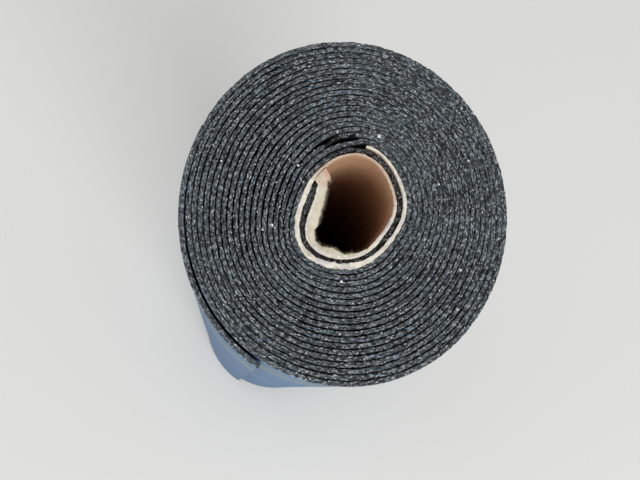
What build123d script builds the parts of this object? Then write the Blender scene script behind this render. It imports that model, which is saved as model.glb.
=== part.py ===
from build123d import *
import math
import os

# Roll of roofing felt, standing on its end: one felt sheet wound on a rolled card core.
# Origin at the middle of the lower end, +Z along the winding axis.
# Angles are in degrees, counter-clockwise seen from above, and go on past 360 turn after turn.

# The felt sheet, flat
sheet_width = 1000.0
sheet_length = 10050.0
felt_thickness = 3.95
winding_slack = 0.03

# The card core, a short sheet rolled up with the first turns of felt
card_thickness = 2.5
card_length = 428.0
card_setback = 1.5
seat_gap = 0.2

# Where each sheet starts
card_start = 121.0
felt_start = 148.0

# The squashed bore: its mean radius where the card starts, and the height and direction of its lobes
bore_radius = 28.3
two_lobe, two_lobe_direction = 4.2, 62.6
three_lobe, three_lobe_direction = 1.05, -24.0
five_lobe, five_lobe_direction = 0.6, 0.0
core_offset = (1.2, 1.7)

# The outer turns: a slight oval, reached after this much build-up of felt
outer_oval, outer_oval_direction = 4.4, 90.0
rounding_depth = 76.0

# The void past the card's outer end, and the loose tail of the last turn
wedge_span = 50.0
tail_span = 95.0
tail_lift = 1.9

# The groove between turns on both ends
groove_width = 0.9
groove_depth = 1.6

# Spans that a turn is drawn in: arcs for every face, and short straight runs for the narrow groove
arc_span = 24.0
groove_run = 9.0

paired_pitch = felt_thickness + card_thickness + 2 * seat_gap
felt_pitch = felt_thickness + winding_slack


def build_up(angle, card_end):
    """Thickness wound on at an angle: felt with card up to the card's end, felt alone after it."""
    paired = min(angle, card_end) - card_start
    single = max(angle - card_end, 0.0)
    return (paired * paired_pitch + single * felt_pitch) / 360


def turn_point(angle, lift, card_end):
    """Point of the winding at an angle, lifted outward from the card's inner face."""
    single = max(angle - card_end, 0.0) * felt_pitch / 360
    rounded = min(single / rounding_depth, 1.0)
    squash = (two_lobe * math.cos(math.radians(2 * (angle - two_lobe_direction)))
              + three_lobe * math.cos(math.radians(3 * (angle - three_lobe_direction)))
              + five_lobe * math.cos(math.radians(5 * (angle - five_lobe_direction))))
    oval = outer_oval * math.cos(math.radians(2 * (angle - outer_oval_direction)))
    radius = bore_radius + build_up(angle, card_end) + squash * (1 - rounded) + oval * rounded + lift
    return Vector(core_offset[0] * (1 - rounded) + radius * math.cos(math.radians(angle)),
                  core_offset[1] * (1 - rounded) + radius * math.sin(math.radians(angle)))


def angle_after(length, start, lift, card_end):
    """Angle at which a sheet of this length ends, walked along the winding a degree at a time."""
    angle = start
    here = turn_point(angle, lift, card_end)
    walked = 0.0
    while walked < length:
        ahead = turn_point(angle + 1, lift, card_end)
        walked += (ahead - here).length
        here = ahead
        angle += 1
    return angle


card_end = angle_after(card_length, card_start, card_thickness / 2, math.inf)
felt_seat = card_thickness + seat_gap
felt_end = angle_after(sheet_length, felt_start, felt_seat + felt_thickness / 2, card_end)


def card_inner(angle):
    """Inner face of the card, whose first stretch bends out to touch the next turn of card."""
    flap = max(felt_start - angle, 0.0) / (felt_start - card_start)
    return turn_point(angle, (felt_thickness + seat_gap) * flap ** 2, card_end)


def card_outer(angle):
    """Outer face of the card."""
    flap = max(felt_start - angle, 0.0) / (felt_start - card_start)
    return turn_point(angle, card_thickness + (felt_thickness + seat_gap) * flap ** 2, card_end)


def tail_gap(angle):
    """How far the loose tail stands off the turn below."""
    loose = max(angle - (felt_end - tail_span), 0.0) / tail_span
    return tail_lift * math.sin(loose * math.pi / 2)


def felt_inner(angle):
    """Inner face of the felt."""
    return turn_point(angle, felt_seat + tail_gap(angle), card_end)


def felt_outer(angle):
    """Outer face of the felt."""
    return turn_point(angle, felt_seat + felt_thickness + tail_gap(angle), card_end)


def slot_inner(angle):
    """Inner wall of the card's slot: the felt a turn earlier, rising to the outer wall in the wedge."""
    wedge = max(angle - card_end, 0.0) / wedge_span
    low = turn_point(angle - 360, felt_seat + felt_thickness, card_end)
    return low + (felt_inner(angle) - low) * wedge


def groove_side(offset):
    """Line beside the joint between two turns, at an offset from it."""
    return lambda angle: turn_point(angle, felt_seat + offset, card_end)


def arcs(face, first, last):
    """Chain of arcs along a face of a sheet, from one angle to another."""
    count = max(1, round(abs(last - first) / arc_span))
    step = (last - first) / count
    chain = []
    for n in range(count):
        start = first + n * step
        chain.append(ThreePointArc(face(start), face(start + step / 2), face(start + step)))
    return chain


def straight_runs(face, first, last):
    """Chain of straight runs along a line of the winding, from one angle to another."""
    count = max(1, round(abs(last - first) / groove_run))
    step = (last - first) / count
    return Polyline([face(first + n * step) for n in range(count + 1)]).edges()


def outline(*runs):
    """Closed wire of runs of arcs, with a straight line wherever one run's end isn't the next one's start."""
    edges = []
    for number, run in enumerate(runs):
        edges.extend(run)
        following = runs[(number + 1) % len(runs)][0] @ 0
        if (run[-1] @ 1 - following).length > 1e-4:
            edges.append(Line(run[-1] @ 1, following))
    return Wire(edges)


def felt_section():
    """The felt seen from the end: its last turn with the loose tail, around the bore and the card's slot."""
    tail_root = felt_end - tail_span
    outside = outline(
        arcs(felt_outer, felt_end - 360, felt_end),
        arcs(felt_inner, felt_end, tail_root),
        arcs(felt_outer, tail_root - 360, felt_end - 360),
    )
    inside = outline(
        arcs(felt_inner, felt_start, card_end + wedge_span),
        arcs(slot_inner, card_end + wedge_span, felt_start + 360),
    )
    return Face(outside, [inside])


def card_section():
    """The rolled card seen from the end."""
    return Face(outline(arcs(card_inner, card_start, card_end), arcs(card_outer, card_end, card_start)))


def groove_section():
    """Band along the joint between turns, from the card's wedge to the root of the tail."""
    first = card_end + wedge_span - arc_span / 2
    last = felt_end - tail_span + arc_span / 2
    return Face(outline(
        straight_runs(groove_side(groove_width / 2), first, last),
        straight_runs(groove_side(-groove_width / 2), last, first),
    ))


def upright(section, height):
    """A section carried straight up."""
    return extrude(section, height, dir=(0, 0, 1))


def wound_felt():
    """The felt wound up, with a groove between its turns on both ends."""
    roll = upright(felt_section(), sheet_width)
    groove = upright(groove_section(), groove_depth)
    return roll - groove - Pos(0, 0, sheet_width - groove_depth) * groove


def card_core():
    """The rolled card, set back a little from both ends of the felt."""
    return Pos(0, 0, card_setback) * upright(card_section(), sheet_width - 2 * card_setback)


os.makedirs("parts", exist_ok=True)
outline_middle = felt_section().bounding_box().center()
for name, piece in {"wound_felt": wound_felt(), "card_core": card_core()}.items():
    export_step(Pos(-outline_middle.X, -outline_middle.Y, 0) * piece, f"parts/{name}.step")
print("turns of felt", round((felt_end - felt_start) / 360, 2), "turns of card", round((card_end - card_start) / 360, 2))
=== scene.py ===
"""Looks of a roll of roofing felt that stands on its end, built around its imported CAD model.

All lengths are in metres and all angles of the winding in degrees, counter-clockwise seen from above. They go
on past 360 turn after turn, as they do in the CAD model: the same winding carries every piece here.
"""
from __future__ import annotations

import logging
import math
from collections.abc import Callable
from dataclasses import dataclass, replace
from enum import Enum, IntEnum
from functools import cache, reduce

import bpy
import numpy as np
from mathutils import Matrix, Vector

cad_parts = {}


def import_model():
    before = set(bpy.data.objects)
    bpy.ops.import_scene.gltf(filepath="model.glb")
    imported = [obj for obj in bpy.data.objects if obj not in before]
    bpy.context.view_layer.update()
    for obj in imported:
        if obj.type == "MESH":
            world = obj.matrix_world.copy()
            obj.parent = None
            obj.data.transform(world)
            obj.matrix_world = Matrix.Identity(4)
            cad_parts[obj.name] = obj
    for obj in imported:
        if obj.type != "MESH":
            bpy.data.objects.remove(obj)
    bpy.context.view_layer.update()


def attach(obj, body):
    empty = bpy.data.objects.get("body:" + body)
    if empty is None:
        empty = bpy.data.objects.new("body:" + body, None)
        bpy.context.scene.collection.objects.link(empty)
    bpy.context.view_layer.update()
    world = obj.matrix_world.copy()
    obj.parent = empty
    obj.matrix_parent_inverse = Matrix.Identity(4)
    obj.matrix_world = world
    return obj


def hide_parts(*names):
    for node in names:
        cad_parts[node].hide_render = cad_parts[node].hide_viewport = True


log = logging.getLogger("felt_roll")

Array = np.ndarray
Piece = bpy.types.Object
Material = bpy.types.Material
Socket = bpy.types.NodeSocket
Values = dict[str | int, object]
Colour = tuple[float, float, float]
Place = tuple[float, float, float]
Span = tuple[float, float]
Lobes = tuple[tuple[int, float, float], ...]
Waves = tuple[tuple[float, float, float], ...]

ROLL_HEIGHT = 1.0
NOISE_COLUMNS, NOISE_ROWS = 8192, 64
SHEET_UV = "along_and_across"
CUT_END_RUN = 0.003


class RollEnd(Enum):
    """The two ends of the roll."""

    LOWER = -1
    UPPER = 1

    def height(self, drop: Array) -> Array:
        """Height of a point that lies this far inside the roll's end."""
        return ROLL_HEIGHT - drop if self is RollEnd.UPPER else drop


class Seed(IntEnum):
    """Seeds of the random values, one for each use. Where the roll's ends differ, the end is added."""

    FELT_TURNS = 20
    FELT_COARSE = 22
    FELT_FINE = 24
    INNER_GAP = 31
    OUTER_GAP = 33
    FELT_SHOULDERS = 41
    LONG_DENTS = 51
    SHORT_DENTS = 52
    CUT_END = 53
    FILM_PATCHES = 61
    CARD_SPLAY = 71
    CARD_FUZZ = 72
    CARD_COARSE = 73
    CARD_FINE = 76
    CARD_WALLS = 79
    LIP_WIDTH = 81
    LIP_COARSE = 83
    LIP_FINE = 84
    LIP_SAG = 85
    FIBRES = 91
    GRAINS = 101
    GRAIN_SHAPES = 103
    CRUMBS = 107
    CRUMB_SHAPES = 109


def linear(colour: Colour) -> tuple[float, float, float, float]:
    """A colour as a screen shows it, 0 to 255, turned into the renderer's linear light.

    Args:
        colour: red, green and blue from 0 to 255.

    Returns:
        Red, green, blue and a full alpha.
    """
    shares = [part / 255 for part in colour]
    red, green, blue = [s / 12.92 if s <= 0.04045 else ((s + 0.055) / 1.055) ** 2.4 for s in shares]
    return red, green, blue, 1.0


def put_in_scene(name: str, data: bpy.types.ID) -> Piece:
    """Makes an object and puts it in the scene.

    Args:
        name: the object's name.
        data: its mesh, lamp or camera.

    Returns:
        The object, at the origin.
    """
    obj = bpy.data.objects.new(name, data)
    bpy.context.scene.collection.objects.link(obj)
    return obj


def lattice_noise(along: Array, across: Array | float, cell: Span, seed: int) -> Array:
    """Smooth noise from -1 to 1.

    Random values stand on a lattice, and between four of them the value follows the ramp 3t^2 - 2t^3 both
    ways.

    Args:
        along: first coordinate.
        across: second coordinate.
        cell: the lattice's spacing along and across.
        seed: picks the lattice's random values.

    Returns:
        One value for each pair of coordinates.
    """
    values = np.random.default_rng(seed).uniform(-1, 1, (NOISE_COLUMNS, NOISE_ROWS))
    along, across = np.broadcast_arrays(along / cell[0], across / cell[1])
    column, row = np.floor(along).astype(int), np.floor(across).astype(int)
    u, v = along - column, across - row
    u, v = u * u * (3 - 2 * u), v * v * (3 - 2 * v)
    near, far = column % NOISE_COLUMNS, (column + 1) % NOISE_COLUMNS
    low, high = row % NOISE_ROWS, (row + 1) % NOISE_ROWS
    bottom = values[near, low] * (1 - u) + values[far, low] * u
    top = values[near, high] * (1 - u) + values[far, high] * u
    return bottom * (1 - v) + top * v


def wave(along: Array, length: float, seed: int, row: float = 0.5) -> Array:
    """Smooth noise from -1 to 1 in one direction: one row of a lattice with a spacing of this length."""
    return lattice_noise(along, row, (length, 1), seed)


def waves(along: Array, seed: int, layers: Waves) -> Array:
    """Sum of waves, each with its height, its length and the row of the lattice that it runs along."""
    return sum(height * wave(along, length, seed, row) for height, length, row in layers)


def bell(value: Array, middle: float, spread: float) -> Array:
    """A rounded bump of height 1 at the middle, which falls away over the spread."""
    return np.exp(-(((value - middle) / spread) ** 2))


def ramp(value: Array, first: float, last: float) -> Array:
    """Smooth step from 0 at the first value to 1 at the last."""
    share = np.clip((value - first) / (last - first), 0, 1)
    return share * share * (3 - 2 * share)


def curve(angle: Array, pairs: tuple[Span, ...]) -> Array:
    """Value at each angle on straight runs between pairs of an angle and a value."""
    return np.interp(angle, *zip(*pairs))


@dataclass(frozen=True)
class Walk:
    """Steps along the winding: the angle of each, and the length of sheet up to it."""

    angle: Array
    along: Array


@dataclass(frozen=True)
class Winding:
    """The spiral that the felt and the card share."""

    felt_thickness: float = 0.00395
    card_thickness: float = 0.0025
    seat_gap: float = 0.0002
    winding_slack: float = 0.00003
    card_start: float = 121.0
    card_end: float = 794.0
    felt_start: float = 148.0
    felt_end: float = 7441.0
    bore_radius: float = 0.0283
    bore_lobes: Lobes = ((2, 0.0042, 62.6), (3, 0.00105, -24.0), (5, 0.0006, 0.0))
    outer_lobes: Lobes = ((2, 0.0044, 90.0),)
    core_offset: Span = (0.0012, 0.0017)
    middle: Span = (0.001373, -0.001205)
    rounding_depth: float = 0.076
    tail_span: float = 95.0
    tail_lift: float = 0.0019
    # Where the first, the second and every further turn past the card's end go down its step
    step_spans: tuple[Span, Span, Span] = ((0.0, 16.0), (25.0, 37.0), (25.0, 60.0))
    hug_share: float = 0.87
    settled_turns: int = 18
    settling_power: float = 1.4
    press_depth: float = 0.0017
    press_start: Span = (138.0, 172.0)
    press_end: Span = (192.0, 218.0)

    @property
    def felt_seat(self) -> float:
        """Lift of the felt's inner face above the card's inner face."""
        return self.card_thickness + self.seat_gap

    @staticmethod
    def swell(angle: Array, lobes: Lobes) -> Array:
        """Sum of lobes, each a cosine with its number to the turn, its height and the angle of its top."""
        return sum(height * np.cos(np.radians(number * (angle - top))) for number, height, top in lobes)

    def points(self, angle: Array, lift: Array | float) -> Array:
        """Points of the winding, seen from above.

        The radius is the bore's radius, plus what has been wound on by that angle, plus the lift. To it come
        the bore's lobes, which fade out as the felt builds up, and the outer lobes, which fade in.

        Args:
            angle: angles along the winding.
            lift: distance outward from the card's inner face.

        Returns:
            x and y in the last axis.
        """
        angle, lift = np.broadcast_arrays(np.asarray(angle, float), np.asarray(lift, float))
        paired_pitch = self.felt_thickness + self.card_thickness + 2 * self.seat_gap
        felt_pitch = self.felt_thickness + self.winding_slack
        paired = np.minimum(angle, self.card_end) - self.card_start
        single = np.maximum(angle - self.card_end, 0) * felt_pitch / 360
        rounded = np.minimum(single / self.rounding_depth, 1)
        radius = self.bore_radius + paired * paired_pitch / 360 + single + lift
        radius = radius + self.swell(angle, self.bore_lobes) * (1 - rounded)
        radius = radius + self.swell(angle, self.outer_lobes) * rounded
        x = self.middle[0] + self.core_offset[0] * (1 - rounded) + radius * np.cos(np.radians(angle))
        y = self.middle[1] + self.core_offset[1] * (1 - rounded) + radius * np.sin(np.radians(angle))
        return np.stack([x, y], axis=-1)

    def places(self, angle: Array, lift: Array, height: Array) -> Array:
        """Points of the winding at a height, with x, y and z in the last axis."""
        return np.concatenate([self.points(angle, lift), height[..., None]], axis=-1)

    def sunk(self, angle: Array) -> Array:
        """How far each turn has sunk into the step that the card's outer end leaves.

        The first turn past the card's end drops most of the way into the step, and the step runs out evenly
        over the turn. The second turn bridges it and leaves a dark void. Every further turn sinks a little
        less than the one under it, by a power of the turns still to come, so the kink fades outward.

        Args:
            angle: angles along the winding.

        Returns:
            The distance inward at each angle.
        """
        step = self.card_thickness + 2 * self.seat_gap - self.winding_slack
        total = np.zeros_like(angle)
        for turn in range(self.settled_turns):
            since = angle - self.card_end - 360 * turn
            way_down = ramp(since, *self.step_spans[min(turn, len(self.step_spans) - 1)])
            share = min((1 - turn / self.settled_turns) ** self.settling_power, self.hug_share)
            total = total + step * share * np.clip(1 - since / 360, 0, 1) * way_down
        return total

    def pressed(self, angle: Array) -> Array:
        """How far the card's first turn is pushed into the bore, over the stretch beside its torn ply."""
        return self.press_depth * ramp(angle, *self.press_start) * (1 - ramp(angle, *self.press_end))

    def felt_lift(self, angle: Array) -> Array:
        """Lift of the felt's inner face, which rises where the tail of the last turn stands off."""
        loose = np.clip((angle - self.felt_end + self.tail_span) / self.tail_span, 0, 1)
        return self.felt_seat + self.tail_lift * np.sin(loose * math.pi / 2) - self.sunk(angle)

    def card_lift(self, angle: Array) -> Array:
        """Lift of the card's inner face, whose first stretch bends out to touch the next turn."""
        flap = np.maximum(self.felt_start - angle, 0) / (self.felt_start - self.card_start)
        return (self.felt_thickness + self.seat_gap) * flap**2 - self.pressed(angle)

    def walked(self, first: float, last: float, lift: float) -> Walk:
        """Walks along the winding in steps of half a degree.

        Args:
            first: angle to start from.
            last: angle to end on.
            lift: lift at which the distance is walked.

        Returns:
            The steps, with lengths below 0 where the walk goes backwards.
        """
        angle = np.linspace(first, last, int(abs(last - first) * 2) + 2)
        legs = np.linalg.norm(np.diff(self.points(angle, lift), axis=0), axis=1)
        return Walk(angle, np.sign(last - first) * np.concatenate([[0], np.cumsum(legs)]))

    def paced(self, first: float, last: float, pace: float, lift: float) -> Walk:
        """Walks along the winding in steps of an even length.

        Args:
            first: angle to start from.
            last: angle to end on.
            pace: length of a step, to be rounded to fill the way.
            lift: lift at which the distance is walked.

        Returns:
            The steps, with the length walked from the first.
        """
        fine = self.walked(first, last, lift)
        along = np.linspace(0, fine.along[-1], round(fine.along[-1] / pace) + 1)
        return Walk(np.interp(along, fine.along, fine.angle), along)


@dataclass
class Shell:
    """A mesh as whole arrays: points, faces with equally many corners, and what is painted on them."""

    points: Array
    faces: Array
    uv: Array | None = None
    finish: Array | None = None
    tint: Array | None = None

    def piece(self, name: str, finishes: list[Material], slot: str, crease: float = 60) -> Piece:
        """Makes the Blender object, which rides on the roll's one body.

        Args:
            name: the piece's name.
            finishes: its materials, in the order that the faces number them.
            slot: a material slot's name; not used.
            crease: edges that bend more than this many degrees are drawn sharp.

        Returns:
            The object, in place at the origin.
        """
        mesh = bpy.data.meshes.new(name)
        mesh.from_pydata(self.points.tolist(), [], self.faces.tolist())
        for finish in finishes:
            mesh.materials.append(finish)
        if self.finish is not None:
            mesh.polygons.foreach_set("material_index", self.finish.astype(np.int32))
        if self.uv is not None:
            mesh.uv_layers.new(name=SHEET_UV).data.foreach_set("uv", self.uv.astype(np.float32).ravel())
        if self.tint is not None:
            layer = mesh.attributes.new("tint", "FLOAT", "POINT")
            layer.data.foreach_set("value", self.tint.astype(np.float32))
        mesh.shade_smooth()
        mesh.set_sharp_from_angle(angle=math.radians(crease))
        mesh.update()
        obj = put_in_scene(name, mesh)
        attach(obj, "root")
        return obj


def copies(points: Array, faces: Array, tint: Array | None = None) -> Shell:
    """Many small bits in one mesh, which all have the same faces.

    Args:
        points: x, y and z of each bit's points, which are kept under the roll's upper end.
        faces: the triangles of one bit.
        tint: the tint of each bit.

    Returns:
        The shell.
    """
    count, corners = points.shape[:2]
    points[..., 2] = np.minimum(points[..., 2], ROLL_HEIGHT)
    every = (faces[None] + corners * np.arange(count)[:, None, None]).reshape(-1, 3)
    return Shell(points.reshape(-1, 3), every, tint=None if tint is None else tint.repeat(corners))


def closed_strip(places: Array, along: Array) -> Shell:
    """Skin of a bar whose section is a closed ring, with its two cut ends closed.

    Ring point j of step i is joined to ring point j + 1 of steps i and i + 1. Each cut end is closed by a
    ladder of faces between the ring's first half and its second half, taken backwards.

    Args:
        places: x, y and z of each ring point at each step, going up the inner side and down the outer.
        along: distance along the bar of each step.

    Returns:
        The shell, with u along the bar and v round the ring, as measured on the middle step.
    """
    steps, ring = places.shape[:2]
    sample = places[steps // 2]
    legs = np.linalg.norm(np.diff(np.vstack([sample, sample[:1]]), axis=0), axis=1)
    round_ring = np.concatenate([[0], np.cumsum(legs)])
    step, spot = np.meshgrid(np.arange(steps - 1), np.arange(ring), indexing="ij")
    here, after = step * ring + spot, step * ring + (spot + 1) % ring
    skin = np.stack([here, after, after + ring, here + ring], -1)
    skin_u = np.stack([along[step], along[step], along[step + 1], along[step + 1]], -1)
    skin_v = np.stack([round_ring[spot], round_ring[spot + 1], round_ring[spot + 1], round_ring[spot]], -1)
    rung = np.arange(ring // 2 - 1)
    ladder = np.stack([rung, rung + 1, ring - 2 - rung, ring - 1 - rung], -1)
    ladder_u = np.tile([0, 0, CUT_END_RUN, CUT_END_RUN], (len(rung), 1))
    ladder_v = round_ring[ladder]
    faces = np.concatenate([skin.reshape(-1, 4), ladder[:, ::-1], ladder + (steps - 1) * ring])
    u = np.concatenate([skin_u.reshape(-1, 4), along[0] + ladder_u[:, ::-1], along[-1] + ladder_u])
    v = np.concatenate([skin_v.reshape(-1, 4), ladder_v[:, ::-1], ladder_v])
    return Shell(places.reshape(-1, 3), faces, uv=np.stack([u, v], -1))


def section_rings(half_ring: Callable[[RollEnd, Array, int, Walk], tuple[Array, Array]], walk: Walk,
                  sides: tuple[Array, Array], rise: Array) -> tuple[Array, Array]:
    """Section of a wound sheet at each step, as a closed ring.

    The ring starts at the middle of the lower edge, goes up the inner face, over the upper edge and down the
    outer face.

    Args:
        half_ring: gives one side of the edge's profile at one end.
        walk: the steps.
        sides: lifts of the sheet's inner and outer faces at each step.
        rise: heights of the points on the faces, between the two ends.

    Returns:
        Lift and height of each ring point at each step.
    """
    inner, outer = sides
    low_in, low_out = half_ring(RollEnd.LOWER, inner, 1, walk), half_ring(RollEnd.LOWER, outer, -1, walk)
    top_in, top_out = half_ring(RollEnd.UPPER, inner, 1, walk), half_ring(RollEnd.UPPER, outer, -1, walk)
    flat = np.zeros((len(inner), len(rise)))
    lift = [low_in[0][:, ::-1], inner[:, None] + flat, top_in[0],
            top_out[0][:, ::-1], outer[:, None] + flat, low_out[0]]
    height = [low_in[1][:, ::-1], flat + rise, top_in[1],
              top_out[1][:, ::-1], flat + rise[::-1], low_out[1]]
    return np.concatenate(lift, axis=1), np.concatenate(height, axis=1)


class Bench:
    """Lays out the shader nodes of one material and joins them."""

    def __init__(self, name: str) -> None:
        """Starts a material with a Principled shader as its surface."""
        self.material = bpy.data.materials.new(name)
        self.material.use_nodes = True
        self.tree = self.material.node_tree
        self.shader = self.tree.nodes["Principled BSDF"]
        self.place = self.node("ShaderNodeTexCoord").outputs["Object"]

    def feed(self, node: bpy.types.Node, values: Values) -> None:
        """Fills inputs of a node.

        Args:
            node: the node.
            values: for an input's name or number, the output that is joined to it, the value that it gets, or
                None to leave it as it is.
        """
        for name, value in values.items():
            if isinstance(value, Socket):
                self.tree.links.new(value, node.inputs[name])
            elif value is not None:
                node.inputs[name].default_value = value

    def node(self, kind: str, values: Values | None = None, **settings: object) -> bpy.types.Node:
        """Adds a node.

        Args:
            kind: its type.
            values: what its inputs get.
            settings: its properties.

        Returns:
            The node.
        """
        made = self.tree.nodes.new(kind)
        for name, value in settings.items():
            setattr(made, name, value)
        self.feed(made, values or {})
        return made

    def sheet(self) -> Socket:
        """Coordinates along the sheet and across its edge, in metres."""
        return self.node("ShaderNodeUVMap", uv_map=SHEET_UV).outputs["UV"]

    def tint(self) -> Socket:
        """The tint that the piece's points carry."""
        return self.node("ShaderNodeAttribute", attribute_name="tint").outputs["Fac"]

    def height(self) -> Socket:
        """Height above the floor."""
        return self.node("ShaderNodeSeparateXYZ", {"Vector": self.place}).outputs["Z"]

    def stretched(self, place: Socket, scale: Colour) -> Socket:
        """Coordinates scaled by a different number on each axis."""
        return self.node("ShaderNodeMapping", {"Vector": place, "Scale": scale}).outputs["Vector"]

    def noise(self, place: Socket, scale: float | Colour, detail: float = 3, rough: float = 0.5,
              bend: float = 0) -> Socket:
        """Cloudy noise from 0 to 1.

        Args:
            place: coordinates that it is read at.
            scale: clouds a metre, one number or one for each axis.
            detail: number of finer layers.
            rough: strength of the finer layers.
            bend: how far the clouds are twisted.

        Returns:
            The noise's value.
        """
        if isinstance(scale, tuple):
            place, scale = self.stretched(place, scale), 1
        values = {"Vector": place, "Scale": scale, "Detail": detail, "Roughness": rough, "Distortion": bend}
        return self.node("ShaderNodeTexNoise", values).outputs["Fac"]

    def reckon(self, kind: str, first: Socket, second: Socket | float = 0) -> Socket:
        """A sum, product or other reckoning of two values, by the operation's name, such as MULTIPLY."""
        return self.node("ShaderNodeMath", {0: first, 1: second}, operation=kind).outputs["Value"]

    def weighed(self, *parts: tuple[Socket, float]) -> Socket:
        """Sum of values, each given with its weight."""
        products = [self.reckon("MULTIPLY", *part) for part in parts]
        return reduce(lambda total, product: self.reckon("ADD", total, product), products)

    def spread(self, value: Socket, low: float, high: float, first: float = 0, last: float = 1) -> Socket:
        """Carries a value over from the range low to high to the range first to last, and holds it there."""
        values = {"Value": value, "From Min": low, "From Max": high, "To Min": first, "To Max": last}
        return self.node("ShaderNodeMapRange", values, clamp=True).outputs["Result"]

    def blend(self, share: Socket, low: Socket | Colour, high: Socket | Colour) -> Socket:
        """Mixes two colours, each an output or written 0 to 255. Sockets 6, 7 and 2 are those for colours."""
        ends = [end if isinstance(end, Socket) else linear(end) for end in (low, high)]
        return self.node("ShaderNodeMix", {6: ends[0], 7: ends[1], 0: share}, data_type="RGBA").outputs[2]

    def coat(self, tone: Socket | Colour, colour: Socket | Colour, value: Socket, low: float, high: float,
             share: float = 1) -> Socket:
        """Lays a colour over a tone by a value: nothing of it shows at low, and this share of it at high."""
        return self.blend(self.spread(value, low, high, 0, share), tone, colour)

    def specks(self, place: Socket, scale: Colour, size: float, share: float) -> Socket:
        """Round specks scattered at random: 1 inside a speck and 0 outside.

        Args:
            place: coordinates that they are read at.
            scale: cells a metre on each axis, each of which may hold one speck.
            size: the speck's radius, in cells, of which the outer part is soft.
            share: share of the cells that hold one.

        Returns:
            The specks.
        """
        cells = self.node("ShaderNodeTexVoronoi", {"Vector": self.stretched(place, scale), "Scale": 1})
        pick = self.node("ShaderNodeSeparateColor", {"Color": cells.outputs["Color"]})
        chosen = self.reckon("LESS_THAN", pick.outputs["Red"], share)
        return self.reckon("MULTIPLY", chosen, self.spread(cells.outputs["Distance"], size, size * 0.6))

    def relief(self, height: Socket, depth: float, strength: float, under: Socket | None = None) -> Socket:
        """Bump from a height of 0 to 1, which is this deep in metres and may lie on a bump under it."""
        values = {"Height": height, "Distance": depth, "Strength": strength, "Normal": under}
        return self.node("ShaderNodeBump", values).outputs["Normal"]

    def finish(self, colour: Socket, roughness: Socket, normal: Socket) -> Material:
        """Joins colour, roughness and bump to the shader and gives the material."""
        self.feed(self.shader, {"Base Color": colour, "Roughness": roughness, "Normal": normal})
        return self.material


@dataclass(frozen=True)
class CutBitumen:
    """The felt's cut edge: dark grey bitumen, granular, in dashes along the turns, with pale sand in it.

    A tint above 0 shows the film's edge, and one below 0 is painted shade that darkens the sheet's faces
    below the edge.
    """

    # The darkest colour: dark pits of the granular edge, and the painted shade in gaps and notches.
    pit_and_shade: Colour = (12, 13, 15)
    ground: Colour = (48, 56, 61)
    ridge: Colour = (129, 142, 150)
    sand: Colour = (198, 207, 209)
    film_edge: Colour = (116, 128, 166)

    @cache
    def material(self) -> Material:
        """Lays out the finish's nodes.

        Returns:
            The material.
        """
        bench = Bench("cut_bitumen")
        sheet, tint = bench.sheet(), bench.tint()
        grain = bench.noise(bench.place, 640, detail=5, rough=0.65)
        dash = bench.noise(sheet, (300, 640, 1), detail=2, bend=0.3)
        streak = bench.noise(sheet, (60, 700, 1), detail=4, rough=0.6)
        texture = bench.weighed((grain, 0.4), (dash, 0.5), (streak, 0.1))
        body = bench.coat(self.pit_and_shade, self.ground, texture, 0.43, 0.50)
        body = bench.coat(body, self.ridge, texture, 0.505, 0.58)
        body = bench.coat(body, self.ridge, bench.noise(bench.place, 32), 0.4, 0.7, 0.14)
        body = bench.blend(tint, body, self.film_edge)
        clump = bench.spread(bench.noise(bench.place, 130, detail=2), 0.42, 0.62)
        sand = bench.reckon("MULTIPLY", bench.specks(sheet, (360, 800, 1), 0.36, 0.22), clump)
        body = bench.coat(body, self.sand, sand, 0, 1, 0.8)
        # Painted shade: a tint below 0 darkens the edge towards the darkest colour where it lies deep in gaps
        # and notches.
        body = bench.coat(body, self.pit_and_shade, tint, 0, -1)
        normal = bench.relief(grain, 0.0007, 0.9, under=bench.relief(dash, 0.0012, 0.9))
        return bench.finish(body, bench.spread(texture, 0.35, 0.65, 0.8, 0.45), normal)


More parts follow.
